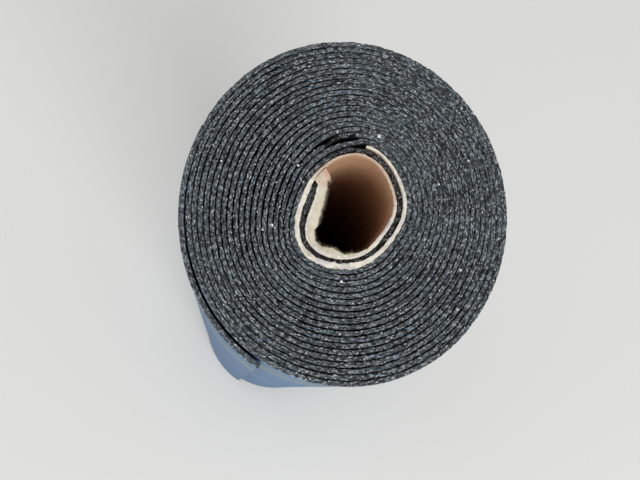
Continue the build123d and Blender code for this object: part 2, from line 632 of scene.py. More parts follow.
@dataclass(frozen=True)
class TorchFilm:
    """The thin plastic film on the felt's outer face: blue, with a greenish-grey band near the upper end."""

    # Pale film at the upper rim: a worn edge with a painted highlight along it.
    worn: Colour = (168, 188, 204)
    # Pale blue of the lit upper end and deeper blue of the shaded body: painted light and shade.
    rim: Colour = (70, 110, 149)
    band: Colour = (101, 124, 134)
    line: Colour = (112, 138, 156)
    body: Colour = (60, 101, 146)
    # Paler blue of scuffs, and of the painted sheen along the creases.
    scuff_and_sheen: Colour = (120, 147, 174)
    dust: Colour = (146, 152, 152)
    band_top: float = 0.937
    band_bottom: float = 0.878
    band_softness: float = 0.0034
    line_width: float = 0.003
    fade_height: float = 0.2
    dust_height: float = 0.06
    worn_highlight_heights: Span = (0.9982, 0.9996)
    ior: float = 1.4
    specular: float = 0.1

    @cache
    def material(self) -> Material:
        """Lays out the finish's nodes.

        Returns:
            The material.
        """
        bench = Bench("torch_film")
        bench.feed(bench.shader, {"IOR": self.ior, "Specular IOR Level": self.specular})
        sheet, level = bench.sheet(), bench.height()
        height = bench.weighed((level, 1), (bench.noise(sheet, (9, 0.5, 1), detail=2), 0.004))
        cloud = bench.noise(bench.place, (11, 11, 5), detail=4)
        crease = bench.noise(sheet, (34, 11, 1), detail=5, rough=0.55, bend=1.2)
        mottle = bench.noise(bench.place, 210, detail=3, rough=0.6)
        line_bottom, half = self.band_bottom - self.line_width, self.band_softness / 2
        # Painted light and shade: the film is drawn paler towards the lit upper end and deeper blue lower
        # down, where it is in shade.
        tone = bench.coat(self.body, self.rim, height, self.fade_height, self.band_bottom, 0.6)
        tone = bench.coat(tone, self.line, height, line_bottom - self.band_softness, line_bottom)
        tone = bench.coat(tone, self.band, height, self.band_bottom - half, self.band_bottom + half)
        # Painted light: above the band the film takes the pale rim blue of its lit upper end.
        tone = bench.coat(tone, self.rim, height, self.band_top - half, self.band_top + half)
        tone = bench.coat(tone, self.scuff_and_sheen, cloud, 0.42, 0.75, 0.3)
        # Painted sheen: the film is paler along the creases, which the same noise raises in the bump.
        tone = bench.coat(tone, self.scuff_and_sheen, crease, 0.55, 0.75, 0.16)
        tone = bench.coat(tone, self.scuff_and_sheen, mottle, 0.45, 0.7, 0.1)
        dusty = bench.spread(level, self.dust_height, 0, 0, 0.5)
        tone = bench.blend(bench.reckon("MULTIPLY", dusty, bench.spread(mottle, 0.35, 0.65)), tone, self.dust)
        # Painted highlight: a thin pale line along the film's upper rim, also standing for a worn edge.
        worn_highlight_level = bench.weighed((level, 1), (bench.noise(sheet, (180, 400, 1)), 0.0022))
        tone = bench.coat(tone, self.worn, worn_highlight_level, *self.worn_highlight_heights, 0.8)
        pull, tuck = bench.noise(sheet, (60, 1.6, 1)), bench.noise(sheet, (7, 26, 1), bend=0.6)
        folds = bench.relief(pull, 0.0022, 0.6, under=bench.relief(tuck, 0.0026, 0.6))
        normal = bench.relief(mottle, 0.0005, 0.3, under=bench.relief(crease, 0.0018, 0.6, under=folds))
        return bench.finish(tone, bench.spread(cloud, 0.3, 0.7, 0.36, 0.5), normal)


@dataclass(frozen=True)
class KraftCard:
    """The rolled card: brown kraft walls with fibres, and pale fuzzy sawn edges, tan where the tint is 1."""

    wall: Colour = (206, 168, 132)
    wall_dark: Colour = (172, 130, 100)
    edge: Colour = (231, 227, 214)
    edge_dark: Colour = (186, 174, 156)
    edge_worn: Colour = (186, 150, 124)
    edge_cool: Colour = (196, 192, 199)
    edge_depth: float = 0.0024
    edge_softness: float = 0.0012

    @cache
    def material(self) -> Material:
        """Lays out the finish's nodes.

        Returns:
            The material.
        """
        bench = Bench("kraft_card")
        sheet, halfway = bench.sheet(), ROLL_HEIGHT / 2
        fibre = bench.noise(sheet, (260, 900, 1), detail=5, rough=0.65, bend=0.6)
        cloud = bench.noise(bench.place, 55, detail=4)
        ragged = bench.noise(bench.place, 420, detail=4, rough=0.7)
        from_middle = bench.reckon("ABSOLUTE", bench.reckon("ADD", bench.height(), -halfway))
        height = bench.weighed((from_middle, 1), (ragged, 0.0022))
        brown = bench.coat(self.wall_dark, self.wall, fibre, 0.35, 0.65)
        brown = bench.coat(brown, self.wall_dark, cloud, 0.4, 0.7, 0.4)
        layered = bench.weighed((bench.noise(sheet, (45, 1500, 1), rough=0.6), 0.5), (fibre, 0.5))
        cream = bench.coat(self.edge_dark, self.edge, layered, 0.4, 0.56)
        cream = bench.coat(cream, self.edge, cloud, 0.4, 0.7, 0.5)
        patch = bench.noise(sheet, (75, 240, 1), rough=0.55)
        cream = bench.coat(cream, self.edge_cool, patch, 0.5, 0.64, 0.75)
        cream = bench.blend(bench.tint(), cream, self.edge_worn)
        edge_start = halfway - self.edge_depth
        tone = bench.coat(brown, cream, height, edge_start, edge_start + self.edge_softness)
        normal = bench.relief(fibre, 0.0005, 0.6, under=bench.relief(cloud, 0.0012, 0.4))
        return bench.finish(tone, bench.spread(fibre, 0.3, 0.7, 0.9, 0.7), normal)


@dataclass(frozen=True)
class TornCard:
    """The card's torn inner ply and loose fibres: cream pulp, and brown liner where the tint is 1."""

    pale: Colour = (219, 211, 190)
    dull: Colour = (186, 172, 148)
    liner: Colour = (196, 150, 126)

    @cache
    def material(self) -> Material:
        """Lays out the finish's nodes.

        Returns:
            The material.
        """
        bench = Bench("torn_card")
        fibre = bench.noise(bench.place, 700, detail=6, rough=0.7, bend=0.8)
        cloud = bench.noise(bench.place, 120)
        tone = bench.coat(self.dull, self.pale, fibre, 0.35, 0.6)
        tone = bench.coat(tone, self.pale, cloud, 0.4, 0.62)
        tone = bench.blend(bench.tint(), tone, self.liner)
        return bench.finish(tone, bench.spread(cloud, 0.3, 0.7, 0.95, 0.8), bench.relief(fibre, 0.0007, 0.7))


@dataclass(frozen=True)
class Mineral:
    """Sand and stone crumbs, each a little different in tone by the tint that it carries."""

    name: str
    dark: Colour
    pale: Colour

    @cache
    def material(self) -> Material:
        """Lays out the finish's nodes.

        Returns:
            The material.
        """
        bench = Bench(self.name)
        grain = bench.noise(bench.place, 1500)
        tone = bench.blend(bench.tint(), self.dark, self.pale)
        tone = bench.coat(tone, self.dark, grain, 0.4, 0.7, 0.3)
        return bench.finish(tone, bench.spread(grain, 0.3, 0.7, 0.75, 0.45), bench.relief(grain, 0.0003, 0.5))


@dataclass(frozen=True)
class Chip:
    """A bit broken out of the edge: its angle, its spread, the lift that it reaches to and its depth."""

    angle: float
    spread: float
    reach: float
    depth: float


@dataclass(frozen=True)
class FeltEdge:
    """The sheet's edge at the roll's ends: worn shoulders, a rough torn top and uneven turns."""

    side_gap: float = 0.00019
    side_gap_swing: float = 0.00022
    side_waves: Waves = ((1.0, 0.016, 0.5), (0.6, 0.0032, 3.5))
    least_gap: float = 0.00004
    core_gap: float = 0.0007
    core_turn_end: Span = (430.0, 540.0)
    loose_gap: float = 0.00034
    loose_side: float = 172.0
    loose_start: Span = (800.0, 950.0)
    loose_fade: Span = (1500.0, 6500.0)
    loose_loss: float = 0.7
    shoulder: tuple[float, ...] = (0.0, 0.0, 0.00014, 0.0005, 0.00125)
    shoulder_drop: tuple[float, ...] = (0.004, 0.0014, 0.0004, 0.00008, 0.0)
    shade_depths: Span = (0.0004, 0.0026)
    chips: tuple[Chip, ...] = (
        Chip(1167.5, 2.6, 0.0056, 0.0045),
        Chip(1180.0, 4.8, 0.0062, 0.0054),
        Chip(1187.5, 3.0, 0.0050, 0.0040))
    chip_flank: float = 0.0005
    lower_end_share: float = 0.4
    set_back: float = 0.00062
    turn_swing: float = 0.00034
    turn_wave: float = 118.0
    turn_row: float = 0.3
    dish: float = 0.0003
    dish_span: float = 760.0
    core_dip: float = 0.0022
    least_drop: float = 0.00002
    roughness: float = 0.0006
    coarse_share: float = 0.7
    coarse_cell: Span = (0.0024, 0.0013)
    fine_share: float = 0.6
    fine_cell: Span = (0.0012, 0.0006)
    notch_depth: float = 0.0024
    notch_start: float = 0.42
    raggedness: float = 0.0003
    ragged_wave: float = 0.0017
    film_side: float = 170.0
    film_side_share: float = 0.45
    film_fade: Span = (500.0, 900.0)
    film_waves: Waves = ((1.0, 0.011, 0.5), (0.4, 0.003, 2.5))
    film_patch: Span = (-0.3, 0.5)
    film_tints: Span = (0.12, 0.75)

    def gap(self, walk: Walk, seed: int) -> Array:
        """Space left at one side of the sheet, which comes and goes along it in long and short waves.

        It is wider in places beside the card. On one side of the roll the turns lie looser, most of all near
        the core.

        Args:
            walk: the steps.
            seed: picks the waves.

        Returns:
            The space at each step.
        """
        most = self.side_gap_swing + self.core_gap * (1 - ramp(walk.angle, *self.core_turn_end))
        swing = most * waves(walk.along, seed, self.side_waves)
        side = 0.5 + 0.5 * np.cos(np.radians(walk.angle - self.loose_side))
        loose = self.loose_gap * side**2 * ramp(walk.angle, *self.loose_start)
        loose = loose * (1 - self.loose_loss * ramp(walk.angle, *self.loose_fade))
        return np.maximum(self.side_gap + loose + swing, self.least_gap)

    def drop(self, end: RollEnd, walk: Walk, lift: Array) -> Array:
        """How far the sheet's edge lies inside the roll's end.

        Each turn rises and falls slowly along its length, the whole end is slightly dished, the first turn
        lies deeper between the card's two, and the edge is rough in two sizes of noise over length and
        thickness, with notches where the coarser noise is high. Chips are broken out of the turn over the
        void, each a rounded bump over angle that ends at a lift.

        Args:
            end: the roll's end.
            walk: the steps.
            lift: lift of each ring point at each step.

        Returns:
            The drop of each ring point at each step.
        """
        share = 1.0 if end is RollEnd.UPPER else self.lower_end_share
        swing = wave(walk.angle, self.turn_wave, Seed.FELT_TURNS + end.value, self.turn_row)
        turn = self.set_back + self.turn_swing * swing
        turn = turn + self.dish * np.cos(walk.angle / self.dish_span)
        turn = turn + self.core_dip * (1 - ramp(walk.angle, *self.core_turn_end))
        coarse = lattice_noise(walk.along[:, None], lift, self.coarse_cell, Seed.FELT_COARSE + end.value)
        fine = lattice_noise(walk.along[:, None], lift, self.fine_cell, Seed.FELT_FINE + end.value)
        notch = self.notch_depth * np.clip(coarse - self.notch_start, 0, 1)
        rough = self.roughness * (self.coarse_share * coarse + self.fine_share * fine)
        drop = share * (turn[:, None] + notch) + rough
        for chip in self.chips:
            bite = bell(walk.angle, chip.angle, chip.spread)[:, None]
            drop = drop + share * chip.depth * bite * ramp(lift, chip.reach + self.chip_flank, chip.reach)
        return np.maximum(drop, self.least_drop)

    def half_ring(self, end: RollEnd, face: Array, inward: int, walk: Walk) -> tuple[Array, Array]:
        """One side of the edge's profile at one end, from the face of the sheet towards its middle.

        Args:
            end: the roll's end.
            face: lift of that face at each step.
            inward: 1 where the sheet's middle lies outward of the face, -1 where it lies inward.
            walk: the steps.

        Returns:
            Lift and height of each profile point at each step.
        """
        offsets, drops = np.array(self.shoulder), np.array(self.shoulder_drop)
        lift = face[:, None] + inward * offsets
        drop = drops + self.drop(end, walk, lift)
        # Each face, and each point of the profile, reads rows of the noise of its own
        rows = 7 * inward + drops * 900
        seed = Seed.FELT_SHOULDERS + end.value
        ragged = lattice_noise(walk.along[:, None], rows, (self.ragged_wave, 1), seed)
        return lift + self.raggedness * ragged * (offsets > 0), end.height(drop)

    def outer_shoulder(self, ring: int) -> int:
        """Number of the ring point where the upper edge turns down to the sheet's outer face."""
        return ring // 2 + len(self.shoulder) - 3

    def tint(self, walk: Walk, height: Array) -> Array:
        """Tint of the edge and of the faces below it.

        It falls below 0 with the depth of a point under the highest point of its step: painted shade in the
        gaps, notches and chips. It rises above 0 where the film's edge shows as a thin lilac line, on the
        outer shoulder in patches near the core.

        Args:
            walk: the steps.
            height: height of each ring point at each step.

        Returns:
            -1 to 1 for each ring point at each step.
        """
        patch = ramp(waves(walk.along, Seed.FILM_PATCHES, self.film_waves), *self.film_patch)
        fade_start, fade_span = self.film_fade
        inside = np.exp(-np.maximum(walk.angle - fade_start, 0) / fade_span)
        side = 1 - self.film_side_share * (1 - np.cos(np.radians(walk.angle - self.film_side)))
        faint, strong = self.film_tints
        depth = np.minimum(height, ROLL_HEIGHT - height)
        # Painted shade: the deeper a point lies below its step's highest point, the darker it is drawn.
        tint = -ramp(depth - depth.min(axis=1, keepdims=True), *self.shade_depths)
        shoulder = self.outer_shoulder(height.shape[1])
        tint[:, shoulder:shoulder + 2] += np.clip(patch * (faint + strong * inside * side), 0, 1)[:, None]
        return tint


@dataclass
class FeltSpan:
    """A stretch of the wound felt sheet, full width, from one angle of the winding to another."""

    name: str
    first: float
    last: float
    pace: float
    winding: Winding
    edge: FeltEdge
    wall_rows: int = 0
    wall_margin: float = 0.006
    outermost: bool = False
    roll_radius: float = 0.12
    inset: float = 0.0001
    dent: float = 0.00036
    long_dent_cell: Span = (0.052, 0.11)
    short_dent_cell: Span = (0.021, 0.34)
    short_dent_share: float = 0.6
    dent_margin: float = 0.03
    cut_wander: float = 0.0011
    cut_wave: float = 0.14
    cut_reach: float = 0.012
    # Where the slack at the inner and at the outer face ends on the last turn, as angles past the tail's root
    slack_ends: tuple[Span, Span] = ((-10.0, 10.0), (-373.0, -360.0))

    def sides(self, walk: Walk) -> tuple[Array, Array]:
        """Lifts of the sheet's inner and outer faces.

        The tongue at its start is pinched by the card's bent flap. The slack ends where the last turn's faces
        show from outside.

        Args:
            walk: the steps.

        Returns:
            The two lifts at each step.
        """
        winding, angle = self.winding, walk.angle
        lift = winding.felt_lift(angle)
        inner_slack, outer_slack = self.edge.gap(walk, Seed.INNER_GAP), self.edge.gap(walk, Seed.OUTER_GAP)
        pinched = np.where(angle < winding.felt_start, winding.card_lift(angle), -winding.pressed(angle))
        if self.outermost:
            root = winding.felt_end - winding.tail_span
            inner_end, outer_end = [(root + first, root + last) for first, last in self.slack_ends]
            inner_slack = inner_slack * (1 - ramp(angle, *inner_end))
            outer_slack = outer_slack * (1 - ramp(angle, *outer_end))
        return lift + inner_slack + pinched, lift + winding.felt_thickness - outer_slack

    def places(self, walk: Walk) -> Array:
        """Every point of the sheet's skin.

        The last turn is pressed in by shallow dents, long and short noise over length and height, which fade
        towards the roll's ends. Its cut end wanders a little over the height.

        Args:
            walk: the steps.

        Returns:
            x, y and z of each ring point at each step.
        """
        rise = np.linspace(self.wall_margin, ROLL_HEIGHT - self.wall_margin, self.wall_rows)
        lift, height = section_rings(self.edge.half_ring, walk, self.sides(walk), rise)
        angle, along = walk.angle[:, None], walk.along[:, None]
        if self.outermost:
            long_dents = lattice_noise(along, height, self.long_dent_cell, Seed.LONG_DENTS)
            short_dents = lattice_noise(along, height, self.short_dent_cell, Seed.SHORT_DENTS)
            # Never below 0, so the film is only pressed in
            hollow = 1 + self.short_dent_share + (long_dents + self.short_dent_share * short_dents)
            away_from_ends = ramp(height, 0, self.dent_margin)
            away_from_ends = away_from_ends * (1 - ramp(height, ROLL_HEIGHT - self.dent_margin, ROLL_HEIGHT))
            lift = lift - self.inset - self.dent * hollow * away_from_ends
            near_cut = ramp(along, along[-1] - self.cut_reach, along[-1])
            wander = self.cut_wander * (wave(height, self.cut_wave, Seed.CUT_END) - 1) * near_cut
            angle = angle + np.degrees(wander / self.roll_radius)
        return self.winding.places(angle, lift, height)

    def build(self) -> Piece:
        """Makes the piece, which stands for the CAD felt.

        Returns:
            The piece.
        """
        middle = self.winding.felt_seat + self.winding.felt_thickness / 2
        before = self.winding.walked(self.winding.felt_start, self.first, middle).along[-1]
        walk = self.winding.paced(self.first, self.last, self.pace, middle)
        walk = replace(walk, along=walk.along + before)
        places = self.places(walk)
        shell = closed_strip(places, walk.along)
        shell.tint = self.edge.tint(walk, places[..., 2]).ravel()
        shell.finish = np.zeros(len(shell.faces), int)
        if self.outermost:
            ring = places.shape[1]
            top, bottom = self.edge.outer_shoulder(ring), ring + 1 - len(self.edge.shoulder)
            spot = np.tile(np.arange(ring), len(places) - 1)
            shell.finish[:len(spot)] = (spot >= top) & (spot <= bottom)
        obj = shell.piece(self.name, [CutBitumen().material(), TorchFilm().material()], "wound_felt")
        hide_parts("wound_felt")
        return obj


@dataclass
class WoundFelt:
    """The felt sheet, wound up: its inner turns, its middle turns and its last turn with the loose tail."""

    winding: Winding
    edge: FeltEdge = FeltEdge()
    tongue: float = 6.0
    half_way: float = 4410.0
    last_turn: float = 480.0
    turn_pace: float = 0.00094
    outer_pace: float = 0.00125
    outer_rows: int = 26

    def build(self) -> list[Piece]:
        """Makes the three stretches of the sheet, end to end.

        Returns:
            The pieces.
        """
        start, end = self.winding.felt_start - self.tongue, self.winding.felt_end
        inner = FeltSpan("felt_inner_turns", start, self.half_way, self.turn_pace, self.winding, self.edge)
        middle = replace(inner, name="felt_middle_turns", first=self.half_way, last=end - self.last_turn)
        outer = replace(middle, name="felt_outer_turn", first=middle.last, last=end, pace=self.outer_pace,
                        wall_rows=self.outer_rows, outermost=True)
        return [inner.build(), middle.build(), outer.build()]


@dataclass(frozen=True)
class CardEdge:
    """The card's sawn edge: rough and fuzzy, standing up a little in places and splayed beyond its faces."""

    set_back: float = 0.0011
    raised: float = 0.0007
    raised_start: Span = (500.0, 560.0)
    raggedness: float = 0.0006
    coarse_share: float = 0.6
    coarse_cell: Span = (0.0055, 0.002)
    fine_share: float = 0.4
    fine_cell: Span = (0.0014, 0.0007)
    least_drop: float = 0.00004
    fuzz: float = 0.00026
    fuzz_wave: float = 0.0015
    splay_swing: float = 0.6
    splay_wave: float = 0.004
    splay_depth: float = 0.002
    splays: tuple[Span, ...] = (
        (121, 0.0002), (300, 0.0002), (390, -0.0002), (440, -0.0005), (480, -0.0002), (500, 0.0002),
        (530, 0.0008), (552, 0.0008), (575, 0.0005), (598, 0.0008), (620, 0.0013), (642, 0.0007),
        (670, 0.0003), (740, 0.0001), (780, -0.0003), (794, -0.0006))
    shoulder: tuple[float, ...] = (0.0, 0.0, 0.00026, 0.0008)
    shoulder_drop: tuple[float, ...] = (0.004, 0.0009, 0.0002, 0.0)

    def half_ring(self, end: RollEnd, face: Array, inward: int, walk: Walk) -> tuple[Array, Array]:
        """One side of the edge's profile at one end, splayed beyond the card's face.

        Args:
            end: the roll's end.
            face: lift of that face at each step.
            inward: 1 where the card's middle lies outward of the face, -1 where it lies inward.
            walk: the steps.

        Returns:
            Lift and height of each profile point at each step.
        """
        offsets, drops = np.array(self.shoulder), np.array(self.shoulder_drop)
        # Each face reads rows of the waves of its own
        swing = 1 + self.splay_swing * wave(walk.along, self.splay_wave, Seed.CARD_SPLAY, 5 + inward)
        fuzz = self.fuzz * wave(walk.along, self.fuzz_wave, Seed.CARD_FUZZ, 9 + inward)
        splay = curve(walk.angle, self.splays) * swing + fuzz
        lift = face[:, None] + inward * (offsets - splay[:, None] * (drops < self.splay_depth))
        coarse = lattice_noise(walk.along[:, None], lift, self.coarse_cell, Seed.CARD_COARSE + end.value)
        fine = lattice_noise(walk.along[:, None], lift, self.fine_cell, Seed.CARD_FINE + end.value)
        rough = self.raggedness * (self.coarse_share * coarse + self.fine_share * fine)
        standing = self.raised * ramp(walk.angle, *self.raised_start)[:, None]
        drop = np.maximum(self.set_back - standing + rough, self.least_drop) + drops
        return lift, end.height(drop)


@dataclass
class CardCore:
    """The rolled card inside the felt, its torn inner ply at the mouth of the bore and its loose fibres."""

    winding: Winding
    edge: CardEdge = CardEdge()
    pace: float = 0.0007
    wall_wave: float = 0.00022
    wall_cell: Span = (0.024, 0.09)
    wall_rows: int = 22
    wall_margin: float = 0.008
    worn_tint: float = 0.6
    worn_start: Span = (330.0, 400.0)
    worn_end: Span = (480.0, 505.0)
    lip_span: Span = (119.0, 292.0)
    lip_pace: float = 0.0003
    lip_widths: tuple[Span, ...] = (
        (119, 0.0058), (123, 0.0060), (126, 0.0036), (134, 0.0046), (148, 0.0050), (161, 0.0048),
        (174, 0.0050), (186, 0.0060), (197, 0.0072), (205, 0.0080), (209, 0.0077), (212, 0.0050),
        (219, 0.0039), (225, 0.0024), (236, 0.0028), (248, 0.0045), (254, 0.0034), (260, 0.0018),
        (265, 0.0009), (271, 0.0014), (283, 0.0002), (292, 0.0001))
    # The torn ply's section from its outer edge over the top and back along the underside, each point as a
    # share of the ply's width and a drop below the card's edge
    lip_section: tuple[Span, ...] = (
        (-0.22, 0.00005), (0.0, 0.0), (0.3, 0.00012), (0.6, 0.0003), (0.86, 0.0006), (0.97, 0.0011),
        (1.0, 0.0018), (0.96, 0.0026), (0.75, 0.0034), (0.35, 0.0050), (-0.12, 0.0076), (-0.12, 0.0080))
    lip_underside: int = 7
    lip_waves: Waves = ((0.00028, 0.0035, 0.5), (0.0003, 0.0011, 2.5))
    narrow_lip: float = 0.002
    lip_top: float = 0.001
    lip_sag: float = 0.0005
    lip_sag_wave: float = 0.012
    lip_raised: float = 0.0004
    lip_cap: float = 0.0006
    # Spacing of coarse and fine noise along the torn ply, and rows of it across the ply
    lip_coarse: Span = (0.0022, 3.0)
    lip_fine: Span = (0.0008, 9.0)
    lip_rough_in: float = 0.0001
    lip_rough_down: float = 0.00016
    beak_tint: float = 0.75
    beak_end: Span = (124.0, 127.0)
    corner_tint: float = 0.3
    corner_end: Span = (139.0, 144.0)
    liner_end: Span = (136.0, 146.0)
    corner_gap: float = 0.0001
    fibre_count: int = 520
    fibre_radius: float = 0.00006
    fibre_taper: float = 0.6
    fibre_lengths: Span = (0.0008, 0.0026)
    fibre_slopes: Span = (-0.3, 0.5)
    fibre_bend: float = 0.5
    fibre_fan: float = 70.0
    fibre_droop: float = 0.35
    fibre_depth: float = 0.0017
    fibre_lip_depth: float = 0.0025
    fibres_on_lip: float = 0.55

    def build_card(self) -> Piece:
        """Makes the rolled card, whose walls wave a little: noise over length and height.

        Returns:
            The piece.
        """
        winding, thickness = self.winding, self.winding.card_thickness
        walk = winding.paced(winding.card_start, winding.card_end, self.pace, thickness / 2)
        inner = winding.card_lift(walk.angle)
        rise = np.linspace(self.wall_margin, ROLL_HEIGHT - self.wall_margin, self.wall_rows)
        lift, height = section_rings(self.edge.half_ring, walk, (inner, inner + thickness), rise)
        bulge = lattice_noise(walk.along[:, None], height, self.wall_cell, Seed.CARD_WALLS)
        lift = lift + self.wall_wave * bulge
        shell = closed_strip(winding.places(walk.angle[:, None], lift, height), walk.along)
        worn = ramp(walk.angle, *self.worn_start) * (1 - ramp(walk.angle, *self.worn_end))
        shell.tint = np.repeat(self.worn_tint * worn, lift.shape[1])
        obj = shell.piece("rolled_card", [KraftCard().material()], "card_core")
        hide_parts("card_core")
        return obj

    def lip_width(self, walk: Walk) -> Array:
        """How far the torn ply stands in over the bore: a slow curve with a ragged edge on it.

        Args:
            walk: the steps.

        Returns:
            The width at each step.
        """
        ragged = waves(walk.along, Seed.LIP_WIDTH, self.lip_waves)
        width = curve(walk.angle, self.lip_widths)
        return width + ragged * np.minimum(width / self.narrow_lip, 1)

    def build_lip(self) -> Piece:
        """Makes the torn ply round part of the bore's mouth.

        Its section is a wedge that hangs on the card's inner face: the top slopes down a little towards the
        ragged inner edge, which is rounded, and the underside runs back to the wall some millimetres down.
        Outward it only caps the card's edge, but beside the card's start it fills the corner up to the next
        turn. The brown liner shows on the blunt beak there and on the underside.

        Returns:
            The piece.
        """
        winding, (coarse, coarse_rows), (fine, fine_rows) = self.winding, self.lip_coarse, self.lip_fine
        walk = winding.paced(*self.lip_span, self.lip_pace, 0)
        angle, along = walk.angle[:, None], walk.along[:, None]
        share, drop = np.array(self.lip_section).T
        rough = lattice_noise(along, share * coarse_rows, (coarse, 1), Seed.LIP_COARSE)
        rough = rough + lattice_noise(along, share * fine_rows, (fine, 1), Seed.LIP_FINE)
        sag = self.lip_sag * (1 + wave(along, self.lip_sag_wave, Seed.LIP_SAG)) * np.clip(share, 0, 1)
        height = ROLL_HEIGHT - self.edge.set_back + self.lip_raised - drop - sag
        height = height - self.lip_rough_down * (1 + rough)
        corner = winding.felt_seat + winding.felt_thickness - self.corner_gap - winding.card_lift(angle)
        outward = self.lip_cap + (corner - self.lip_cap) * (1 - ramp(angle, *self.corner_end))
        reach = np.where(drop < self.lip_top, outward, self.lip_cap)
        reach = np.where(share >= 0, -share * self.lip_width(walk)[:, None], reach)
        lift = winding.card_lift(angle) + reach - self.lip_rough_in * rough
        shell = closed_strip(winding.places(angle, lift, height), walk.along)
        # This ring goes round the other way, so its faces are turned
        shell.faces, shell.uv = shell.faces[:, ::-1], shell.uv[:, ::-1]
        liner = self.beak_tint + (self.corner_tint - self.beak_tint) * ramp(angle, *self.beak_end)
        liner = liner * (1 - ramp(angle, *self.liner_end))
        shell.tint = np.maximum(liner, np.arange(len(share)) >= self.lip_underside).ravel()
        return shell.piece("torn_card_lip", [TornCard().material()], "card_core")

    def build_fibres(self) -> Piece:
        """Makes the loose fibres on the card's edges: thin three-sided hairs, each bent along a short arc.

        A fibre's middle line starts on the card's edge, runs out in a random direction and droops with the
        square of the distance. A small triangle is carried along it and narrows to the tip.

        Returns:
            The piece, all fibres joined.
        """
        rng = np.random.default_rng(Seed.FIBRES)
        winding, count = self.winding, self.fibre_count
        on_lip = rng.random(count) < self.fibres_on_lip
        angle = np.where(on_lip, rng.uniform(*self.lip_span, count),
                         rng.uniform(winding.card_start, winding.card_end, count))
        on_card = rng.uniform(0, winding.card_thickness, count)
        reach = np.where(on_lip, -curve(angle, self.lip_widths), on_card)
        height = ROLL_HEIGHT - np.where(on_lip, self.fibre_lip_depth, self.fibre_depth)
        root = winding.places(angle, winding.card_lift(angle) + reach, height)
        way = np.where(on_lip, angle + 180, rng.uniform(0, 360, count))
        way = np.radians(way + rng.uniform(-self.fibre_fan, self.fibre_fan, count))
        heading = np.stack([np.cos(way), np.sin(way), rng.uniform(*self.fibre_slopes, count)], axis=1)
        side = np.stack([-np.sin(way), np.cos(way), np.zeros(count)], axis=1)
        length = rng.uniform(*self.fibre_lengths, count)
        share = np.linspace(0, 1, 4)
        bend = rng.uniform(-self.fibre_bend, self.fibre_bend, count)
        run = share[None, :, None] * heading[:, None] + (bend[:, None] * share**2)[..., None] * side[:, None]
        line = root[:, None] + length[:, None, None] * run
        line[..., 2] -= length[:, None] * self.fibre_droop * share**2
        turn = np.radians([90, 210, 330])
        girth = (self.fibre_radius * (1 - self.fibre_taper * share))[None, :, None, None]
        ring = np.cos(turn)[None, None, :, None] * side[:, None, None]
        ring = ring + np.sin(turn)[None, None, :, None] * np.array([0, 0, 1.0])
        points = (line[:, :, None] + girth * ring).reshape(count, -1, 3)
        step, spot = np.meshgrid(3 * np.arange(3), np.arange(3), indexing="ij")
        after = (spot + 1) % 3
        sides = np.stack([step + spot, step + after, step + 3 + after, step + 3 + spot], -1).reshape(-1, 4)
        faces = np.concatenate([sides[:, [0, 1, 2]], sides[:, [0, 2, 3]], [[2, 1, 0]], [[9, 10, 11]]])
        return copies(points, faces).piece("card_fibres", [TornCard().material()], "card_core")

    def build(self) -> list[Piece]:
        """Makes the card, its torn ply and its fibres."""
        return [self.build_card(), self.build_lip(), self.build_fibres()]


